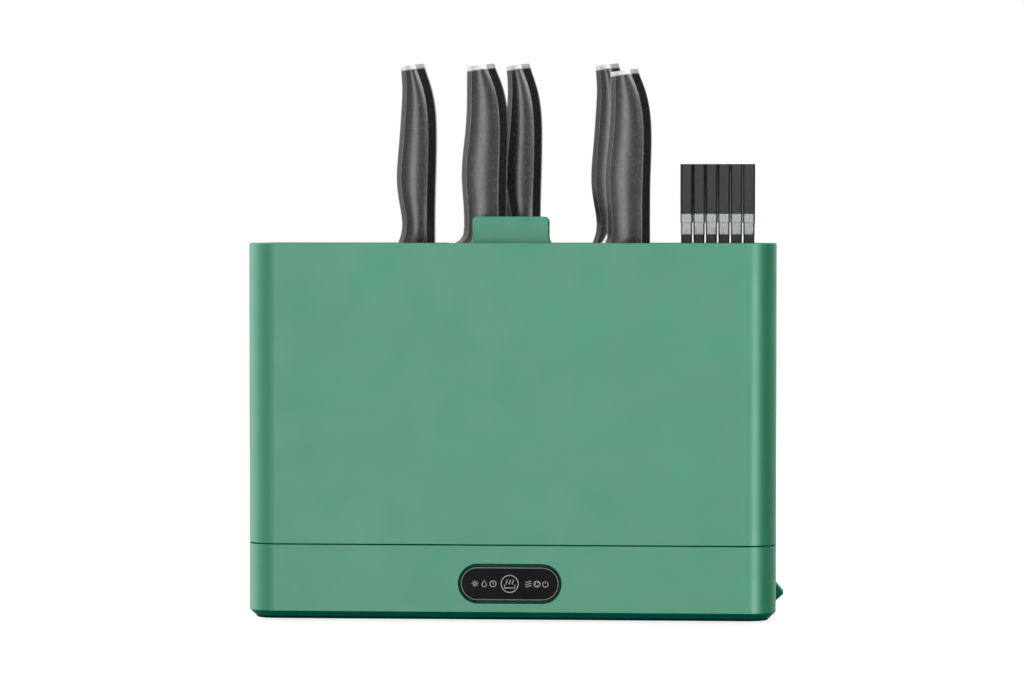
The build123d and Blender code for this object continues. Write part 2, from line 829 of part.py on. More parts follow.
# The grille is notched round the ribs, so that it drops in from above.
grille_slot_pitch_y = row_pitch / grille_bars_per_row
grille_columns = int((spigot_width - 2 * grille_margin) / grille_slot_pitch_x)
board_middle_y = (board_front_y + board_back_y) / 2
with BuildPart() as floor_grille:
    with BuildSketch(Plane.XY.offset(grille_z)):
        RectangleRounded(spigot_width, spigot_depth, spigot_radius)
        with Locations(*long_wall_ribs):
            Rectangle(rib_thickness + 2 * lift_gap, rib_depth + 2 * lift_gap, mode=Mode.SUBTRACT)
        with Locations(*groove_ribs):
            Rectangle(rib_depth + 2 * lift_gap, groove_lip + 2 * lift_gap, mode=Mode.SUBTRACT)
        with Locations((0, basket_y)):
            with GridLocations(grille_slot_pitch_x, grille_slot_pitch_y, grille_columns, grille_rows):
                Rectangle(grille_slot_length, grille_slot_width, mode=Mode.SUBTRACT)
        with Locations((0, board_middle_y)):
            with GridLocations(grille_slot_pitch_x, 0, grille_columns, 1):
                Rectangle(grille_slot_length, grille_slot_width, mode=Mode.SUBTRACT)
    extrude(amount=grille_thickness)
save(floor_grille, "floor_grille")

divider_width = inner_width - 2 * lift_gap
divider_slot_count = int((divider_width - 2 * divider_margin) / divider_slot_pitch)
divider_height = rack_z - grille_top_z
divider_middle_z = (rack_z + grille_top_z) / 2
with BuildPart() as board_divider:
    with BuildSketch(Plane.XZ.offset(-divider_back_y)):
        with Locations((0, divider_middle_z)):
            Rectangle(divider_width, divider_height)
            with GridLocations(divider_slot_pitch, 0, divider_slot_count, 1):
                Rectangle(divider_slot_width, divider_slot_length, mode=Mode.SUBTRACT)
    extrude(amount=divider_thickness)
save(board_divider, "board_divider")

# ================================================================== cutting board
board_width = inner_width - 2 * board_end_room
board_bottom_z = grille_top_z + seat_gap
board_top_z = rim_z - board_below_rim
board_height = board_top_z - board_bottom_z
with BuildPart() as cutting_board:
    with BuildSketch(Plane.XZ.offset(-board_back_y)) as board_outline:
        with Locations((0, (board_top_z + board_bottom_z) / 2)):
            Rectangle(board_width, board_height)
        fillet(board_outline.vertices(), radius=board_corner)
        with Locations((0, board_top_z)):
            Rectangle(tab_width, 2 * tab_height)
        fillet(board_outline.vertices().group_by(Axis.Y)[-1], radius=tab_corner)
        corners = board_outline.vertices()
        top_line = corners.filter_by_position(Axis.Y, board_top_z - near, board_top_z + near)
        roots = top_line.filter_by_position(Axis.X, -tab_width / 2 - near, tab_width / 2 + near)
        fillet(roots, radius=tab_root)
    extrude(amount=board_thickness)
    board_faces = cutting_board.faces().filter_by(Axis.Y)
    chamfer(board_faces.edges(), length=board_edge)
save(cutting_board, "cutting_board")

# ================================================================== knife rack
# One row per knife: name, outline family, x of the spine line, row, blade width and length.
# A blade length of None means that the knife stands on its blade, on the floor grille.
slim_bottom_z = rack_top_z + seat_gap
broad_bottom_z = rim_z - broad_below_rim
chef_bottom_z = broad_bottom_z - chef_drop
knife_list = (
    ("slicing_knife", "slim", slicing_spine_x, back_row_y, slim_bottom_z, slicing_width, slicing_length),
    ("cleaver", "broad", cleaver_spine_x, front_row_y, broad_bottom_z, cleaver_width, None),
    ("utility_knife", "slim", utility_spine_x, back_row_y, slim_bottom_z, utility_width, utility_length),
    ("paring_knife", "slim", paring_spine_x, back_row_y, slim_bottom_z, paring_width, paring_length),
    ("chef_knife", "broad", chef_spine_x, front_row_y, chef_bottom_z, chef_width, None),
)
basket_hole_width = basket_width + 2 * basket_gap
basket_hole_depth = basket_depth + 2 * basket_gap

with BuildPart() as knife_rack:
    with BuildSketch(Plane.XY.offset(rack_z)):
        RectangleRounded(spigot_width, spigot_depth, spigot_radius)
        with Locations((0, (front_y + divider_front_y) / 2)):
            Rectangle(body_width, divider_front_y - front_y, mode=Mode.SUBTRACT)
        with Locations((basket_x, basket_y)):
            RectangleRounded(
                basket_hole_width,
                basket_hole_depth,
                basket_corner + basket_gap,
                mode=Mode.SUBTRACT,
            )
    extrude(amount=rack_thickness)
    for name, family, spine_x, row_y, bottom_z, width, length in knife_list:
        collar_plane = Plane.XY.offset(rack_z - collar_depth)
        with BuildSketch(collar_plane):
            with Locations((spine_x - width / 2, row_y)):
                Rectangle(width + 2 * slot_room + 2 * collar_wall, slot_width + 2 * collar_wall)
        extrude(amount=collar_depth)
        with BuildSketch(collar_plane):
            with Locations((spine_x - width / 2, row_y)):
                Rectangle(width + 2 * slot_room, slot_width)
        extrude(amount=collar_depth + rack_thickness, mode=Mode.SUBTRACT)
save(knife_rack, "knife_rack")

basket_height = rack_top_z - basket_bottom_z
basket_inner_width = basket_width - 2 * basket_wall
basket_inner_depth = basket_depth - 2 * basket_wall
basket_slot_z = (rack_top_z + basket_bottom_z) / 2
with BuildPart() as chopstick_basket:
    with BuildSketch(Plane.XY.offset(basket_bottom_z)):
        with Locations((basket_x, basket_y)):
            RectangleRounded(basket_width, basket_depth, basket_corner)
    extrude(amount=basket_height)
    with BuildSketch(Plane.XY.offset(rack_top_z)):
        with Locations((basket_x, basket_y)):
            RectangleRounded(
                basket_width + 2 * basket_flange,
                basket_depth + 2 * basket_flange,
                basket_corner + basket_flange,
            )
    extrude(amount=basket_flange_thickness)
    with BuildSketch(Plane.XY.offset(basket_bottom_z + basket_floor)):
        with Locations((basket_x, basket_y)):
            RectangleRounded(basket_inner_width, basket_inner_depth, basket_corner - basket_wall)
    extrude(amount=basket_height, mode=Mode.SUBTRACT)
    with BuildSketch(Plane.XY.offset(basket_bottom_z)):
        with Locations((basket_x, basket_y)):
            with GridLocations(basket_slot_pitch, 0, basket_slots_wide, 1):
                Rectangle(basket_drain_width, basket_inner_depth - 2 * basket_drain_margin)
    extrude(amount=basket_floor, mode=Mode.SUBTRACT)
    with BuildSketch(Plane.XZ.offset(-basket_y)):
        with Locations((basket_x, basket_slot_z)):
            with GridLocations(basket_slot_pitch, 0, basket_slots_wide, 1):
                Rectangle(basket_slot_width, basket_slot_length)
    extrude(amount=basket_depth, both=True, mode=Mode.SUBTRACT)
    with BuildSketch(Plane.YZ.offset(basket_x)):
        with Locations((basket_y, basket_slot_z)):
            with GridLocations(basket_slot_pitch, 0, basket_slots_deep, 1):
                Rectangle(basket_slot_width, basket_slot_length)
    extrude(amount=basket_width, both=True, mode=Mode.SUBTRACT)
save(chopstick_basket, "chopstick_basket")

# ================================================================== knives
# Each handle outline runs from the blade end to past the butt: share of the blank's length,
# then how far the belly side and the spine side lie from the line of the blade's spine.
slim_outline = (
    (0.00, 28.0, 0.0),
    (0.07, 24.4, 0.0),
    (0.13, 22.1, 0.0),
    (0.25, 23.3, 0.1),
    (0.46, 25.1, 0.8),
    (0.67, 22.9, 0.9),
    (0.78, 22.0, -0.4),
    (0.87, 21.9, -3.2),
    (1.00, 21.9, -8.2),
)
broad_outline = (
    (0.00, 40.0, 0.0),
    (0.036, 33.6, 0.0),
    (0.075, 28.8, 0.0),
    (0.13, 27.8, 0.0),
    (0.22, 28.1, 0.0),
    (0.39, 29.4, 0.2),
    (0.63, 26.9, 0.9),
    (0.78, 26.0, -0.7),
    (0.88, 26.0, -4.0),
    (1.00, 26.1, -9.0),
)
butt_heights = {"slim": slim_butt_height, "broad": broad_butt_height}
outlines = {"slim": slim_outline, "broad": broad_outline}


def handle_sections(family, spine_x, row_y, bottom_z):
    """The bevelled cross-sections of a handle, reaching past the finished grip."""
    sections = []
    blank_length = butt_heights[family] + blank_allowance
    for share, belly, spine in outlines[family]:
        swell = 1 - (2 * share - 1) ** 2
        half = (handle_end_thickness + (handle_thickness - handle_end_thickness) * swell) / 2
        belly_x = spine_x - belly
        belly_crease_x = belly_x + belly_bevel
        edge_x = spine_x + spine
        spine_crease_x = edge_x - spine_bevel
        middle_x = (belly_crease_x + spine_crease_x) / 2
        crease_y = half - face_crown
        belly_y = half - belly_bevel
        edge_y = half - spine_bevel
        with BuildSketch(Plane.XY.offset(bottom_z + share * blank_length)) as section:
            with BuildLine():
                front = ThreePointArc(
                    (belly_crease_x, row_y - crease_y),
                    (middle_x, row_y - half),
                    (spine_crease_x, row_y - crease_y),
                )
                back = ThreePointArc(
                    (spine_crease_x, row_y + crease_y),
                    (middle_x, row_y + half),
                    (belly_crease_x, row_y + crease_y),
                )
                Polyline(front @ 1, (edge_x, row_y - edge_y), (edge_x, row_y + edge_y), back @ 0)
                Polyline(back @ 1, (belly_x, row_y + belly_y), (belly_x, row_y - belly_y), front @ 0)
            make_face()
        sections.append(section.sketch)
    return sections


def butt_plane(family, spine_x, row_y, bottom_z, rise):
    """The slanted plane across a handle's end, highest on the spine side."""
    place = (spine_x, row_y, bottom_z + butt_heights[family] + rise)
    slope = tan(radians(butt_slope))
    return Plane(place, x_dir=(1, 0, slope), z_dir=(-slope, 0, 1))


def neck_width(family):
    """The handle's width just above the flare, where the tang enters."""
    return outlines[family][3][1]


def make_handle(node, family, spine_x, row_y, bottom_z):
    """The grip with its slot for the tang, and the steel cap on its end."""
    sections = handle_sections(family, spine_x, row_y, bottom_z)
    with BuildPart() as grip:
        loft(sections)
        split(bisect_by=butt_plane(family, spine_x, row_y, bottom_z, 0), keep=Keep.BOTTOM)
        with Locations((spine_x - neck_width(family) / 2, row_y, bottom_z)):
            Box(
                tang_width + 2 * tang_room,
                blade_sheet + 2 * tang_room,
                2 * (tang_length + tang_room),
                mode=Mode.SUBTRACT,
            )
    with BuildPart() as cap:
        loft(sections)
        split(bisect_by=butt_plane(family, spine_x, row_y, bottom_z, 0), keep=Keep.TOP)
        split(bisect_by=butt_plane(family, spine_x, row_y, bottom_z, cap_thickness), keep=Keep.BOTTOM)
    save(grip, f"{node}_handle")
    save(cap, f"{node}_end_cap")
    return grip


def make_blade(node, family, spine_x, row_y, bottom_z, width, length, grip):
    """The blade with its ground edge, the tang and, on a broad knife, the swept guard."""
    stands = length is None
    if stands:
        length = bottom_z - grille_top_z - seat_gap
    back_x = spine_x - spine_inset
    edge_x = spine_x - width
    tip_z = bottom_z - length
    blade_plane = Plane.XZ.offset(-row_y)
    guard_x = spine_x - neck_width(family) - guard_radius
    guard_z = bottom_z + guard_centre_rise
    guard_low_z = guard_z - guard_radius
    heel_z = guard_low_z if family == "broad" else bottom_z
    with BuildPart() as blade:
        with BuildSketch(blade_plane) as profile:
            with BuildLine():
                if node == "cleaver":
                    Polyline((edge_x, heel_z), (edge_x, tip_z), (back_x, tip_z), (back_x, bottom_z))
                else:
                    curve_start = (edge_x, tip_z + curve_share * length)
                    tip = (back_x - tip_drop, tip_z)
                    Line((edge_x, heel_z), curve_start)
                    TangentArc(curve_start, tip, tangent=(0, -1))
                    Polyline(tip, (back_x, tip_z + tip_slope * length), (back_x, bottom_z))
                if family == "broad":
                    Polyline((back_x, bottom_z), (guard_x, bottom_z), (guard_x, heel_z), (edge_x, heel_z))
                else:
                    Line((back_x, bottom_z), (edge_x, heel_z))
            make_face()
        extrude(amount=blade_sheet / 2, both=True)
        for side in (0, -1):
            face = blade.faces().filter_by(Axis.Y).sort_by(Axis.Y)[side]
            edge = face.edges().filter_by_position(Axis.X, edge_x - near, edge_x + near)
            chamfer(
                edge,
                length=edge_bevel_width,
                length2=(blade_sheet - edge_land) / 2,
                reference=face,
            )
        with Locations((spine_x - neck_width(family) / 2, row_y, bottom_z + tang_length / 2)):
            Box(tang_width, blade_sheet, tang_length)
        if family == "broad":
            with BuildSketch(blade_plane):
                with BuildLine():
                    start_x = guard_x + sqrt(guard_radius**2 - (guard_centre_rise - guard_start) ** 2)
                    RadiusArc((start_x, bottom_z + guard_start), (guard_x, guard_low_z), guard_radius)
                    Polyline(
                        (guard_x, guard_low_z),
                        (guard_x, bottom_z),
                        (back_x - neck_width(family) / 2, bottom_z),
                        (back_x - neck_width(family) / 2, bottom_z + guard_start),
                        (start_x, bottom_z + guard_start),
                    )
                make_face()
            extrude(amount=guard_thickness / 2, both=True)
            add(grip.part, mode=Mode.SUBTRACT)
    save(blade, f"{node}_blade")


for name, family, spine_x, row_y, bottom_z, width, length in knife_list:
    finished_grip = make_handle(name, family, spine_x, row_y, bottom_z)
    make_blade(name, family, spine_x, row_y, bottom_z, width, length, finished_grip)

# ================================================================== chopsticks
chopstick_top_z = rim_z + chopstick_above_rim
band_top_z = chopstick_top_z - band_below_top
band_step_z = band_top_z - band_collar_height
band_bottom_z = band_step_z - band_sleeve_height


def square_section(x, z, width):
    """The bevelled square cross-section of a chopstick."""
    with BuildSketch(Plane.XY.offset(z)) as section:
        with Locations((x, basket_y)):
            Rectangle(width, width)
        chamfer(section.vertices(), length=chopstick_bevel * width / chopstick_width)
    return section.sketch


def make_chopstick(number, x):
    """A tapered chopstick, reduced where its steel band sits, and the band."""
    core = square_section(x, band_bottom_z, chopstick_core_width)
    with BuildPart() as shaft:
        loft([
            square_section(x, band_top_z, chopstick_neck_width),
            square_section(x, chopstick_top_z, chopstick_width),
        ])
        extrude(core, amount=band_top_z - band_bottom_z)
        loft([
            square_section(x, chopstick_foot_z, chopstick_tip_width),
            square_section(x, band_bottom_z, chopstick_lower_width),
        ])
    with BuildPart() as band:
        extrude(square_section(x, band_bottom_z, band_sleeve_width), amount=band_sleeve_height)
        extrude(square_section(x, band_step_z, band_collar_width), amount=band_collar_height)
        extrude(core, amount=band_top_z - band_bottom_z, mode=Mode.SUBTRACT)
    save(shaft, f"chopstick_{number}")
    save(band, f"chopstick_{number}_band")


for index in range(chopstick_count):
    make_chopstick(index + 1, basket_x + (index - (chopstick_count - 1) / 2) * chopstick_pitch)
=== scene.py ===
"""Looks of the countertop steriliser and dryer box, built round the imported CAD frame.

Lengths are in metres, or in millimetres where a name or a comment says so.
"""

import math

import bmesh
import bpy
from mathutils import Matrix, Vector


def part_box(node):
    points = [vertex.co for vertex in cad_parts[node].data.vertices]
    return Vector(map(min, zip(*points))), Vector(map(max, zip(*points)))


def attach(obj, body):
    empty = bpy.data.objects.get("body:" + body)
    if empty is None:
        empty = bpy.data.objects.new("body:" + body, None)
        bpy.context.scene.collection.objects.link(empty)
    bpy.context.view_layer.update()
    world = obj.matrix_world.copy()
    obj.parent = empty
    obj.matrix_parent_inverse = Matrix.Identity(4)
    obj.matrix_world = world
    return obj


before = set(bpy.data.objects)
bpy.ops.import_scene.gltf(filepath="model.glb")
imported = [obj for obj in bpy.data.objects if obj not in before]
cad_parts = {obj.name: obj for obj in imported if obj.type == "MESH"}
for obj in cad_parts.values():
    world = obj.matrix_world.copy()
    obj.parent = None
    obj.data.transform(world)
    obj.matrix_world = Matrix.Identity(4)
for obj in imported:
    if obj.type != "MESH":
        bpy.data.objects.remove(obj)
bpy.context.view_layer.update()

MM = 0.001

# ---------------------------------------------------------------- camera of the photograph
LENS_MM = 140.625
SENSOR_MM = 36.0
CAMERA_PLACE = Vector((0.1779, -2.6539, 0.2545))
CAMERA_TURN = math.radians(3.9)
CAMERA_DIP = math.radians(1.58)
CAMERA_ROLL = 0.0006
CAMERA_REACH = 50

# ---------------------------------------------------------------- studio light
# Each stop is (compass degrees, brightness that gloss sees there). The compass is 0 straight out
# from the front and grows towards the viewer's right. The flat front mirrors about -8 to 0, the
# rounded corner on the left the stops below that, and the one on the right those above it.
STUDIO_STOPS = [
    (-180, 0.9), (-134, 1.1), (-124, 2.6), (-82, 2.6), (-68, 1.3), (-46, 1.0),
    (-22, 0.7), (-14, 0.9), (-10.5, 6.3), (-3.5, 6.3), (0, 0.9), (7, 0.4),
    (18, 0.8), (23, 8.6), (33, 8.6), (41, 3.2), (52, 0.5), (64, 0.1),
    (100, 0.03), (118, 0.45), (150, 0.8), (180, 0.9),
]
STUDIO_PEAK = 9.0
# Pairs of the Z of the direction between which the studio changes: the walls fade below the
# horizon, the ceiling takes over from them high up, and the diffuse sky grows a little brighter.
WALL_FADE = (-0.85, -0.35)
WALL_LEAST = 0.2
CEILING_FADE = (0.72, 0.92)
CEILING_GLOSS = 1.5
SKY_FADE = (-0.2, 1.0)
DIFFUSE_SKY = (0.42, 0.50)
FLOOR_SIZE = 6.0
FLOOR_SHADOW_SHARE = 0.36
FLOOR_GLOW = 0.82
FLOOR_BOUNCE = 0.26

# Each lamp is (name, place, width, height, watts), and all of them face the target.
LAMP_TARGET = Vector((0, 0, 0.18))
LAMPS = [
    ("front_soft", (0.2, -2.6, 1.5), 1.6, 1.6, 18),
    ("side_left", (-2.5, 0.45, 1.2), 1.4, 1.4, 40),
    ("side_right", (2.0, 1.7, 1.0), 1.4, 1.4, 36),
    ("back_top", (0.2, 1.8, 1.9), 1.6, 1.2, 8),
]

# ---------------------------------------------------------------- ranges of the materials
NOISE_RANGE = (0.3, 0.7)       # the part of a noise that is spread over a whole mix
EDGE_HIGHLIGHT_TURN = (0.998, 0.965)     # cosine of a rounded edge's turn, from no painted highlight to full
DOWNWARD_SHADE = (-0.2, -0.5)        # Z of the normal, from the housing's look to the chamfer's painted shade
HOUSING_SPECULAR = 0.75
CHAMFER_SPECULAR = 0.03
GROOVE_REACH_MM = 3.5
GROOVE_SHADE_RANGE = (0.72, 0.97)     # ambient occlusion, from a groove's painted dark shade to the open face
TAB_ROOT_SHADE = (0.975, 0.92)       # share of the board's height, from its own green to a painted shade
TRACK_PITCH_MM = 7.0
TURN_PITCH_MM = 4.0

# ---------------------------------------------------------------- panel marks
# They are drawn in millimetres from the middle of the panel's lens.
LENS_LOW, LENS_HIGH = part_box("panel_lens")
LENS_Y = LENS_LOW.y
PANEL_Z = (LENS_LOW.z + LENS_HIGH.z) / 2
MARK_DEPTH_MM = 0.03
MARK_LIFT_MM = 0.02
MARK_LINE_MM = 0.55
RING_LINE_MM = 0.58
RING_RADIUS_MM = 5.85
WAVE_STEPS = 20


# ================================================================ node helpers
def add(tree, kind, **settings):
    node = tree.nodes.new("ShaderNode" + kind)
    for key, value in settings.items():
        setattr(node, key, value)
    return node


def feed(tree, source, target):
    tree.links.new(source, target)


def math_node(tree, operation, first, second):
    node = add(tree, "Math", operation=operation)
    for socket, value in zip(node.inputs, (first, second)):
        if isinstance(value, (int, float)):
            socket.default_value = value
        else:
            feed(tree, value, socket)
    return node.outputs[0]


def blend(tree, share, first, second):
    """The first value where the share is 0, the second where it is 1."""
    rest = math_node(tree, "SUBTRACT", 1.0, share)
    parts = math_node(tree, "MULTIPLY", first, rest), math_node(tree, "MULTIPLY", second, share)
    return math_node(tree, "ADD", *parts)


def map_range(tree, value, source, target=(0, 1)):
    """The value taken from the source range to the target range, and held inside it."""
    node = add(tree, "MapRange")
    feed(tree, value, node.inputs["Value"])
    for name, number in zip(("From Min", "From Max", "To Min", "To Max"), source + target):
        node.inputs[name].default_value = number
    return node.outputs["Result"]


def mix_colours(tree, share, first, second):
    node = add(tree, "Mix", data_type="RGBA")
    feed(tree, share, node.inputs["Factor"])
    for socket, value in ((node.inputs[6], first), (node.inputs[7], second)):
        if isinstance(value, tuple):
            socket.default_value = (*value, 1)
        else:
            feed(tree, value, socket)
    return node.outputs[2]


def mix_shaders(tree, share, first, second):
    node = add(tree, "MixShader")
    for socket, source in zip(node.inputs, (share, first, second)):
        feed(tree, source, socket)
    return node.outputs[0]


def split_xyz(tree, vector):
    node = add(tree, "SeparateXYZ")
    feed(tree, vector, node.inputs[0])
    return node.outputs


def ray_kinds(tree):
    """Whether a ray is glossy, and whether the camera sees it, directly or through glass."""
    path = add(tree, "LightPath").outputs
    seen = math_node(tree, "MAXIMUM", path["Is Camera Ray"], path["Is Transmission Ray"])
    return path["Is Glossy Ray"], seen


def scaled(colour, factor):
    return tuple(min(1.0, channel * factor) for channel in colour)


# ================================================================ materials
class Finish:
    """A procedural material: a Principled shader with mottle, uneven gloss and a fine relief."""

    def __init__(
        self, name, roughness, metallic=0.0, specular=0.5, coat=0.0, coat_roughness=0.1
    ):
        self.material = bpy.data.materials.new(name)
        self.material.use_nodes = True
        self.tree = self.material.node_tree
        self.shader = self.tree.nodes["Principled BSDF"]
        self.roughness = roughness
        self.put("Metallic", metallic)
        self.put("Specular IOR Level", specular)
        self.put("Coat Weight", coat)
        self.put("Coat Roughness", coat_roughness)
        self.place = add(self.tree, "TexCoord").outputs["Object"]
        self.colour_out = None

    def put(self, name, value):
        self.shader.inputs[name].default_value = value
        return self

    def noise(self, grain_mm, detail, stretch):
        mapping = add(self.tree, "Mapping")
        mapping.inputs["Scale"].default_value = stretch
        feed(self.tree, self.place, mapping.inputs["Vector"])
        node = add(self.tree, "TexNoise")
        feed(self.tree, mapping.outputs["Vector"], node.inputs["Vector"])
        node.inputs["Scale"].default_value = 1 / (grain_mm * MM)
        node.inputs["Detail"].default_value = detail
        return node.outputs["Fac"]

    def rounded_normal(self, radius_mm, samples):
        edge = add(self.tree, "Bevel", samples=samples)
        edge.inputs["Radius"].default_value = radius_mm * MM
        return edge.outputs["Normal"]

    def mottle(self, colour, spread, grain_mm, stretch=(1, 1, 1)):
        share = map_range(self.tree, self.noise(grain_mm, 3, stretch), NOISE_RANGE)
        pair = scaled(colour, 1 - spread), scaled(colour, 1 + spread)
        self.colour_out = mix_colours(self.tree, share, *pair)
        return self

    def tint(self, share, colour):
        """The given share of another colour over the one so far."""
        self.colour_out = mix_colours(self.tree, share, self.colour_out, colour)
        return self

    def flecks(self, colour, grain_mm, start, end, stretch=(1, 1, 1)):
        """Small spots of another colour where a fine noise is high."""
        fine = self.noise(grain_mm, 1, stretch)
        return self.tint(map_range(self.tree, fine, (start, end)), colour)

    def uneven_gloss(self, spread, grain_mm, stretch=(1, 1, 1)):
        limits = self.roughness - spread, self.roughness + spread
        gloss = map_range(self.tree, self.noise(grain_mm, 2, stretch), NOISE_RANGE, limits)
        feed(self.tree, gloss, self.shader.inputs["Roughness"])
        return self

    def relief(self, depth_mm, grain_mm, stretch=(1, 1, 1), edge_mm=0.0):
        """A fine bump, and edges that look rounded by edge_mm."""
        bump = add(self.tree, "Bump")
        bump.inputs["Strength"].default_value = 1.0
        bump.inputs["Distance"].default_value = depth_mm * MM
        feed(self.tree, self.noise(grain_mm, 2, stretch), bump.inputs["Height"])
        if edge_mm:
            feed(self.tree, self.rounded_normal(edge_mm, 4), bump.inputs["Normal"])
        feed(self.tree, bump.outputs["Normal"], self.shader.inputs["Normal"])
        return self

    def edge_highlight(self, colour, radius_mm):
        """Painted highlight: a paler colour where rounding the edges would turn the surface."""
        turned = add(self.tree, "VectorMath", operation="DOT_PRODUCT")
        feed(self.tree, self.rounded_normal(radius_mm, 8), turned.inputs[0])
        feed(self.tree, add(self.tree, "NewGeometry").outputs["Normal"], turned.inputs[1])
        return self.tint(map_range(self.tree, turned.outputs["Value"], EDGE_HIGHLIGHT_TURN), colour)

    def done(self):
        feed(self.tree, self.colour_out, self.shader.inputs["Base Color"])
        self.material.diffuse_color = (0.5, 0.5, 0.5, 1)
        return self.material


def moulded(name, colour, roughness, specular=0.75, edge_mm=0.4):
    """Moulded plastic with a satin grain."""
    finish = Finish(name, roughness, specular=specular)
    finish.mottle(colour, spread=0.045, grain_mm=60).uneven_gloss(spread=0.035, grain_mm=18)
    return finish.relief(depth_mm=0.012, grain_mm=0.9, edge_mm=edge_mm)


def brushed(name, colour, roughness, stretch, spread=0.07, edge_mm=0.15, metallic=1.0):
    """Metal with fine lines: stretch is small along the lines."""
    finish = Finish(name, roughness, metallic=metallic)
    finish.mottle(colour, spread, 0.5, stretch).uneven_gloss(0.07, 0.6, stretch)
    return finish.relief(0.001, 0.35, stretch, edge_mm).done()


def green_housing():
    """Sage green; painted shade makes faces that look down deeper and duller, and grooves dark.
    """
    finish = moulded("green_housing", (0.028, 0.268, 0.150), 0.40, HOUSING_SPECULAR)
    tree = finish.tree
    facing = split_xyz(tree, add(tree, "NewGeometry").outputs["Normal"])["Z"]
    # Painted shade: faces that look down turn a deeper green.
    finish.tint(map_range(tree, facing, DOWNWARD_SHADE), (0.002, 0.235, 0.165))
    # Painted shade: grooves that ambient occlusion finds turn dark green.
    groove = add(tree, "AmbientOcclusion", samples=6)
    groove.inputs["Distance"].default_value = GROOVE_REACH_MM * MM
    unshaded_share = map_range(tree, groove.outputs["AO"], GROOVE_SHADE_RANGE)
    finish.colour_out = mix_colours(tree, unshaded_share, (0.001, 0.060, 0.042), finish.colour_out)
    # Less gloss on faces that look down and in grooves, as painted shade.
    dull = map_range(tree, facing, DOWNWARD_SHADE, (HOUSING_SPECULAR, CHAMFER_SPECULAR))
    specular = math_node(tree, "MULTIPLY", dull, unshaded_share)
    feed(tree, specular, finish.shader.inputs["Specular IOR Level"])
    return finish.done()


def dark_green_plastic():
    return moulded("dark_green_plastic", (0.010, 0.165, 0.098), 0.52, 0.12).done()


def inner_plastic():
    return moulded("inner_plastic", (0.026, 0.175, 0.105), 0.5, 0.4, 0.3).done()


def board_plastic():
    """The board's own green, with painted shade below the root of its tab."""
    finish = Finish("board_plastic", 0.44, specular=0.7)
    finish.mottle((0.028, 0.262, 0.147), spread=0.04, grain_mm=25)
    finish.flecks((0.04, 0.30, 0.175), grain_mm=1.6, start=0.66, end=0.76)
    height = split_xyz(finish.tree, add(finish.tree, "TexCoord").outputs["Generated"])["Z"]
    # Painted shade: the board darkens towards its tab's root, behind the front wall.
    finish.tint(map_range(finish.tree, height, TAB_ROOT_SHADE), (0.018, 0.185, 0.104))
    finish.uneven_gloss(spread=0.05, grain_mm=9)
    return finish.relief(depth_mm=0.02, grain_mm=1.1, edge_mm=0.5).done()


def handle_black():
    finish = Finish("handle_black", 0.24, specular=0.42, coat=0.30, coat_roughness=0.14)
    finish.mottle((0.018, 0.019, 0.0185), 0.16, 2.6, stretch=(1, 1, 0.35))
    finish.flecks((0.046, 0.048, 0.044), 0.8, 0.54, 0.72, stretch=(1, 1, 0.6))
    # Painted highlight: a pale grey along the handles' edges and creases.
    finish.edge_highlight((0.42, 0.425, 0.42), radius_mm=1.2)
    finish.uneven_gloss(spread=0.05, grain_mm=2.0)
    return finish.relief(depth_mm=0.014, grain_mm=0.9, stretch=(1, 1, 0.7), edge_mm=1.1).done()


def blade_steel():
    return brushed("blade_steel", (0.42, 0.43, 0.44), 0.26, (1, 1, 0.03), 0.05, edge_mm=0.9)


def cap_steel():
    return brushed("cap_steel", (0.70, 0.70, 0.70), 0.45, (0.06, 1, 1), 0.04, 0.5, metallic=0.30)


def band_steel():
    """The chopsticks' sleeves are a darker, smoother steel than the knives' caps."""
    return brushed(
        "band_steel", (0.18, 0.19, 0.185), 0.30, (1, 1, 0.15), 0.10, 0.35, metallic=0.85
    )


def chopstick_grey():
    finish = Finish("chopstick_grey", 0.42, specular=0.28)
    finish.mottle((0.016, 0.016, 0.016), 0.12, 3.5, stretch=(1, 1, 0.12))
    finish.flecks((0.038, 0.038, 0.036), 0.7, 0.58, 0.74)
    finish.uneven_gloss(0.05, 4, stretch=(1, 1, 0.2))
    return finish.relief(depth_mm=0.010, grain_mm=0.7, stretch=(1, 1, 0.3), edge_mm=0.25).done()


def panel_black():
    finish = Finish("panel_black", 0.22, specular=0.03)
    finish.mottle((0.0062, 0.0062, 0.0065), 0.18, 14).uneven_gloss(0.04, 20)
    return finish.relief(depth_mm=0.002, grain_mm=6.0).done()


def panel_trim():
    return brushed("panel_trim", (0.042, 0.040, 0.046), 0.20, (0.2, 1, 1), 0.05, 0.3)


def rubber(name, colour, roughness):
    finish = Finish(name, roughness, specular=0.35)
    finish.mottle(colour, spread=0.12, grain_mm=5).uneven_gloss(spread=0.06, grain_mm=3)
    return finish.relief(depth_mm=0.03, grain_mm=0.6, edge_mm=0.3).done()


def foot_rubber():
    return rubber("foot_rubber", (0.030, 0.030, 0.030), 0.72)


def seal_rubber():
    return rubber("seal_rubber", (0.38, 0.38, 0.36), 0.60)


def window_glass():
    finish = Finish("window_glass", 0.06, specular=0.5)
    finish.put("Transmission Weight", 0.92).put("IOR", 1.46)
    finish.mottle((0.90, 0.94, 0.96), 0.03, 8).uneven_gloss(0.02, 6)
    return finish.relief(depth_mm=0.003, grain_mm=3.0).done()


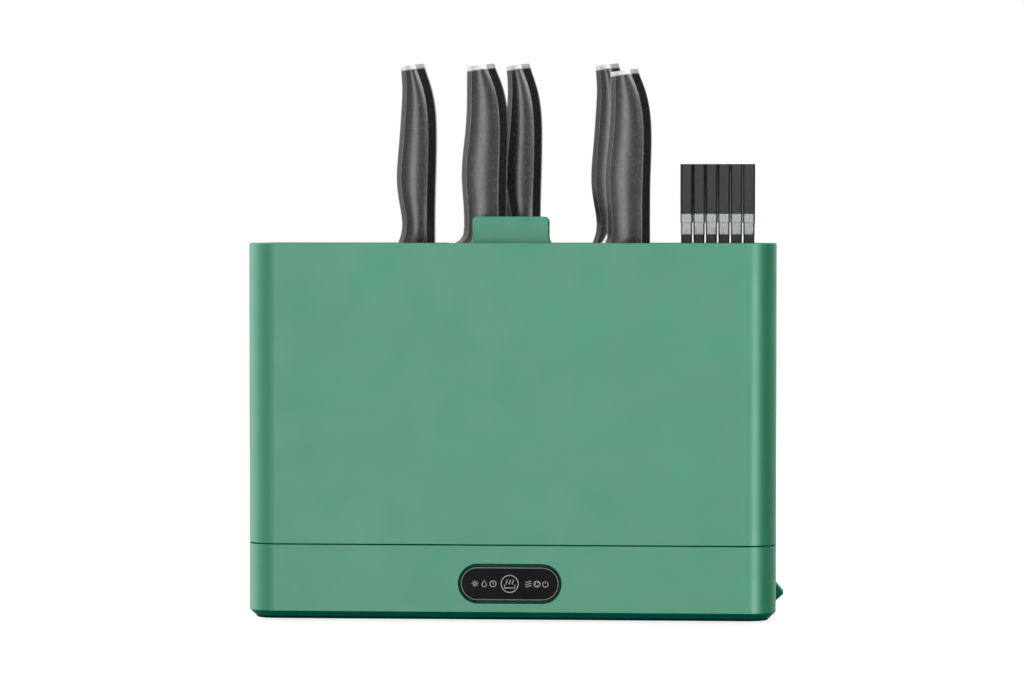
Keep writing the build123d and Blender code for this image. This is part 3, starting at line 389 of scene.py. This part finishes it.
def circuit_board():
    """Green solder mask over a pattern of square-cornered tracks, with tinned spots."""
    finish = Finish("circuit_board", 0.38, specular=0.5)
    finish.mottle((0.010, 0.115, 0.040), 0.08, 6)
    tracks = add(finish.tree, "TexBrick", offset=0.5, squash=1.0)
    feed(finish.tree, finish.place, tracks.inputs["Vector"])
    tracks.inputs["Scale"].default_value = 1 / (TRACK_PITCH_MM * MM)
    tracks.inputs["Mortar Size"].default_value = 0.035
    finish.tint(tracks.outputs["Fac"], (0.020, 0.190, 0.070))
    finish.flecks((0.45, 0.45, 0.42), 2.2, 0.70, 0.72).uneven_gloss(0.05, 4)
    return finish.relief(depth_mm=0.02, grain_mm=2.0).done()


def fan_black():
    return moulded("fan_black", (0.016, 0.016, 0.017), 0.36, edge_mm=0.15).done()


def motor_metal():
    return brushed("motor_metal", (0.52, 0.52, 0.53), 0.28, (1, 1, 0.05))


def heater_ceramic():
    finish = Finish("heater_ceramic", 0.62, specular=0.35)
    finish.mottle((0.62, 0.58, 0.50), 0.08, 4).flecks((0.40, 0.33, 0.24), 1.4, 0.68, 0.76)
    finish.uneven_gloss(0.06, 3)
    return finish.relief(depth_mm=0.03, grain_mm=0.7, edge_mm=0.15).done()


def heater_metal():
    return brushed("heater_metal", (0.60, 0.60, 0.61), 0.34, (1, 0.08, 1))


def winding_core():
    """Enamelled copper turns between dark laminations."""
    finish = Finish("winding_core", 0.40, specular=0.5)
    finish.mottle((0.050, 0.047, 0.045), 0.12, 3)
    turns = add(finish.tree, "TexWave", wave_type="BANDS", bands_direction="Z")
    feed(finish.tree, finish.place, turns.inputs["Vector"])
    turns.inputs["Scale"].default_value = 1 / (TURN_PITCH_MM * MM)
    finish.tint(turns.outputs["Fac"], (0.30, 0.12, 0.045)).uneven_gloss(0.08, 2)
    return finish.relief(depth_mm=0.05, grain_mm=0.9, stretch=(0.1, 0.1, 1)).done()


def capacitor_sleeve():
    finish = Finish("capacitor_sleeve", 0.34, specular=0.5)
    finish.mottle((0.015, 0.020, 0.060), 0.10, 5).uneven_gloss(0.04, 3)
    return finish.relief(depth_mm=0.01, grain_mm=1.0, stretch=(1, 1, 0.2), edge_mm=0.2).done()


def relay_case():
    return moulded("relay_case", (0.020, 0.070, 0.200), 0.33, edge_mm=0.2).done()


def led_lens():
    finish = Finish("led_lens", 0.16, specular=0.5).put("Subsurface Weight", 0.15)
    finish.mottle((0.72, 0.73, 0.70), 0.05, 2).uneven_gloss(0.05, 2)
    return finish.relief(depth_mm=0.005, grain_mm=1.0).done()


def screw_steel():
    return brushed("screw_steel", (0.55, 0.55, 0.56), 0.32, (1, 1, 0.2), 0.10, 0.1)


def pin_brass():
    return brushed("pin_brass", (0.75, 0.56, 0.27), 0.26, (1, 0.08, 1), 0.06, 0.15)


def mark_white():
    """Ink of the panel's printed marks: a slightly uneven grey-white."""
    finish = Finish("mark_white", 0.45, specular=0.3)
    finish.mottle((0.60, 0.60, 0.59), 0.06, 1.2).uneven_gloss(0.04, 2)
    return finish.relief(depth_mm=0.002, grain_mm=0.8).done()


SLOT_FINISHES = {
    maker.__name__: maker for maker in (
        green_housing, dark_green_plastic, inner_plastic, panel_black, panel_trim,
        board_plastic, handle_black, blade_steel, cap_steel, chopstick_grey, foot_rubber,
        seal_rubber, window_glass, circuit_board, fan_black, motor_metal, heater_ceramic,
        heater_metal, winding_core, capacitor_sleeve, relay_case, led_lens, screw_steel,
        pin_brass,
    )
}


def dress_nodes():
    """Each CAD node's plain material gives way to the procedural one of its slot."""
    plain = {node: [m.name for m in ob.data.materials] for node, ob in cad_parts.items()}
    for material in list(bpy.data.materials):
        material.name = "plain_" + material.name
    made = {name: maker() for name, maker in SLOT_FINISHES.items()}
    bands = band_steel()
    for node, names in plain.items():
        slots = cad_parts[node].data.materials
        for index, name in enumerate(names):
            slots[index] = bands if node.endswith("_band") else made[name.split(".")[0]]


# ================================================================ printed marks of the panel
def ribbon(bm, points, width, closed=False):
    """A stroke of even width along points in the panel's plane, as one closed prism."""
    count = len(points)
    left, right = [], []
    for i, point in enumerate(points):
        before = points[(i - 1) % count] if closed or i else point
        after = points[(i + 1) % count] if closed or i < count - 1 else point
        along = (Vector(after) - Vector(before)).normalized()
        across = Vector((-along.y, along.x)) * width / 2
        left.append(Vector(point) + across)
        right.append(Vector(point) - across)
    back = LENS_Y - MARK_LIFT_MM * MM
    front = back - MARK_DEPTH_MM * MM
    rails = [
        [bm.verts.new((p.x * MM, y, PANEL_Z + p.y * MM)) for p in side]
        for y, side in ((front, left), (front, right), (back, right), (back, left))
    ]
    for i in range(count if closed else count - 1):
        j = (i + 1) % count
        for rail, following in zip(rails, rails[1:] + rails[:1]):
            bm.faces.new((rail[i], rail[j], following[j], following[i]))
    if not closed:
        for i in (0, count - 1):
            bm.faces.new([rail[i] for rail in rails])


def arc(centre, radius, start, end, steps):
    """Points of an arc in the panel's plane, angles in degrees."""
    turns = [math.radians(start + (end - start) * i / steps) for i in range(steps + 1)]
    return [(centre[0] + radius * math.cos(a), centre[1] + radius * math.sin(a)) for a in turns]


def circle(bm, centre, radius, width, steps):
    points = arc(centre, radius, 0, 360 * (steps - 1) / steps, steps - 1)
    ribbon(bm, points, width, closed=True)


def wave(centre, width, height, upright=False):
    """Points of one full wave, along the panel or upright."""
    points = []
    for i in range(WAVE_STEPS + 1):
        share = i / WAVE_STEPS - 0.5
        swing = height / 2 * math.sin(share * 2 * math.pi)
        along = share * width
        shift = (swing, along) if upright else (along, swing)
        points.append((centre[0] + shift[0], centre[1] + shift[1]))
    return points


def ring_sign(bm, x):
    """Three waves of warm air over a tray, in a ring."""
    circle(bm, (x, 0), RING_RADIUS_MM - RING_LINE_MM / 2, RING_LINE_MM, 56)
    for step in (-2.0, 0.0, 2.0):
        ribbon(bm, wave((x + step, 1.2), 3.0, 0.9, upright=True), MARK_LINE_MM)
    tray = [(x - 3.4, -0.7), (x - 3.4, -2.7), (x + 3.4, -2.7), (x + 3.4, -0.7)]
    ribbon(bm, tray, MARK_LINE_MM * 1.2)


def sun_sign(bm, x):
    circle(bm, (x, 0), 1.0, MARK_LINE_MM, 24)
    for k in range(8):
        turn = k * math.pi / 4
        ray = [(x + r * math.cos(turn), r * math.sin(turn)) for r in (1.55, 2.2)]
        ribbon(bm, ray, 0.4)


def drop_sign(bm, x):
    outline = [(x, 2.2)] + arc((x, -0.6), 1.45, 145, 395, 22)
    ribbon(bm, outline, MARK_LINE_MM * 0.9, closed=True)


def clock_sign(bm, x):
    circle(bm, (x, 0), 1.95, MARK_LINE_MM * 0.9, 32)
    ribbon(bm, [(x, 1.2), (x, 0), (x + 0.9, -0.3)], MARK_LINE_MM * 0.8)


def warm_air_sign(bm, x):
    for z in (-1.5, 0.0, 1.5):
        ribbon(bm, wave((x, z), 4.0, 0.8), MARK_LINE_MM * 0.85)


def fan_sign(bm, x):
    circle(bm, (x, 0), 2.0, MARK_LINE_MM * 0.8, 32)
    for turn in (30, 150, 270):
        angle = math.radians(turn)
        root = (x + 0.8 * math.cos(angle), 0.8 * math.sin(angle))
        ribbon(bm, arc(root, 0.75, turn - 60, turn + 120, 10), MARK_LINE_MM * 0.7)


def power_sign(bm, x):
    ribbon(bm, arc((x, -0.15), 1.8, 125, 415, 28), MARK_LINE_MM * 0.9)
    ribbon(bm, [(x, 0.25), (x, 2.15)], MARK_LINE_MM * 0.9)


# Each sign with its place along the panel, in millimetres from the middle.
SIGNS = [
    (ring_sign, 0.0), (sun_sign, -22.6), (drop_sign, -16.6), (clock_sign, -10.9),
    (warm_air_sign, 12.2), (fan_sign, 17.8), (power_sign, 23.2),
]


def panel_marks(ink):
    """The ring in the middle and three small signs on each side, as one printed piece."""
    bm = bmesh.new()
    for sign, x in SIGNS:
        sign(bm, x)
    bmesh.ops.recalc_face_normals(bm, faces=bm.faces)
    mesh = bpy.data.meshes.new("panel_marks")
    bm.to_mesh(mesh)
    bm.free()
    mesh.materials.append(ink)
    piece = in_scene("panel_marks", mesh)
    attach(piece, "base")


# ================================================================ stage
def in_scene(name, data):
    """A new object for the data, linked to the scene."""
    ob = bpy.data.objects.new(name, data)
    bpy.context.scene.collection.objects.link(ob)
    return ob


def looking(place, aim):
    """The pose of a camera or a lamp at the place that looks along aim."""
    return Matrix.Translation(place) @ aim.to_track_quat("-Z", "Y").to_matrix().to_4x4()


def make_camera():
    data = bpy.data.cameras.new("photo_camera")
    data.lens = LENS_MM
    data.sensor_width = SENSOR_MM
    data.clip_end = CAMERA_REACH
    camera = in_scene("photo_camera", data)
    level = math.cos(CAMERA_DIP)
    across, ahead = -math.sin(CAMERA_TURN) * level, math.cos(CAMERA_TURN) * level
    aim = Vector((across, ahead, -math.sin(CAMERA_DIP)))
    camera.matrix_world = looking(CAMERA_PLACE, aim) @ Matrix.Rotation(CAMERA_ROLL, 4, "Z")
    bpy.context.scene.camera = camera


def studio_walls(tree, x, y):
    """The brightness of STUDIO_STOPS in the direction's compass bearing."""
    compass = math_node(tree, "ARCTAN2", x, math_node(tree, "MULTIPLY", y, -1.0))
    ramp = add(tree, "ValToRGB")
    ramp.color_ramp.interpolation = "EASE"
    while len(ramp.color_ramp.elements) < len(STUDIO_STOPS):
        ramp.color_ramp.elements.new(0.5)
    for element, (degrees, level) in zip(ramp.color_ramp.elements, STUDIO_STOPS):
        element.position = (degrees + 180) / 360
        element.color = (level / STUDIO_PEAK,) * 3 + (1,)
    feed(tree, map_range(tree, compass, (-math.pi, math.pi)), ramp.inputs["Fac"])
    return math_node(tree, "MULTIPLY", ramp.outputs["Color"], STUDIO_PEAK)


def make_world():
    """White for the camera; for gloss, a studio of soft panels and gaps; a plain diffuse sky."""
    world = bpy.data.worlds.new("studio")
    bpy.context.scene.world = world
    world.use_nodes = True
    world.cycles.sampling_method = "NONE"
    tree = world.node_tree
    x, y, z = split_xyz(tree, add(tree, "TexCoord").outputs["Generated"])

    fade = map_range(tree, z, WALL_FADE, (WALL_LEAST, 1))
    walls = math_node(tree, "MULTIPLY", studio_walls(tree, x, y), fade)
    gloss = blend(tree, map_range(tree, z, CEILING_FADE), walls, CEILING_GLOSS)
    sky = map_range(tree, z, SKY_FADE, DIFFUSE_SKY)
    is_gloss, is_seen = ray_kinds(tree)
    strength = blend(tree, is_seen, blend(tree, is_gloss, sky, gloss), 1.0)

    background = tree.nodes["Background"]
    background.inputs["Color"].default_value = (1, 1, 1, 1)
    feed(tree, strength, background.inputs["Strength"])


def paper_diffuse(tree, share):
    node = add(tree, "BsdfDiffuse")
    node.inputs["Color"].default_value = (share,) * 3 + (1,)
    return node.outputs[0]


def make_floor():
    """White paper to the camera, with the object's soft shadow left in; a dim diffuse bounce.

    Gloss looks through it, so the studio's soft panels reach below the horizon.
    """
    mesh = bpy.data.meshes.new("floor")
    half = FLOOR_SIZE / 2
    corners = [(-half, -half, 0), (half, -half, 0), (half, half, 0), (-half, half, 0)]
    mesh.from_pydata(corners, [], [(0, 1, 2, 3)])
    floor = in_scene("floor", mesh)
    material = bpy.data.materials.new("floor_paper")
    material.use_nodes = True
    tree = material.node_tree
    tree.nodes.remove(tree.nodes["Principled BSDF"])
    is_gloss, is_seen = ray_kinds(tree)

    glow = add(tree, "Emission")
    glow.inputs["Color"].default_value = (1, 1, 1, 1)
    glow.inputs["Strength"].default_value = FLOOR_GLOW
    white = add(tree, "AddShader")
    feed(tree, paper_diffuse(tree, FLOOR_SHADOW_SHARE), white.inputs[0])
    feed(tree, glow.outputs[0], white.inputs[1])
    clear = add(tree, "BsdfTransparent").outputs[0]
    dim = mix_shaders(tree, is_gloss, paper_diffuse(tree, FLOOR_BOUNCE), clear)
    surface = mix_shaders(tree, is_seen, dim, white.outputs[0])
    feed(tree, surface, tree.nodes["Material Output"].inputs["Surface"])
    mesh.materials.append(material)


def make_lights():
    """Soft area lights that gloss doesn't see."""
    for name, place, width, height, watts in LAMPS:
        data = bpy.data.lights.new(name, "AREA")
        data.shape = "RECTANGLE"
        data.size = width
        data.size_y = height
        data.energy = watts
        lamp = in_scene(name, data)
        lamp.matrix_world = looking(place, (LAMP_TARGET - Vector(place)).normalized())
        lamp.visible_glossy = False


# ================================================================ build
dress_nodes()
panel_marks(mark_white())
make_camera()
make_world()
make_floor()
make_lights()
bpy.context.scene.view_settings.view_transform = "Standard"
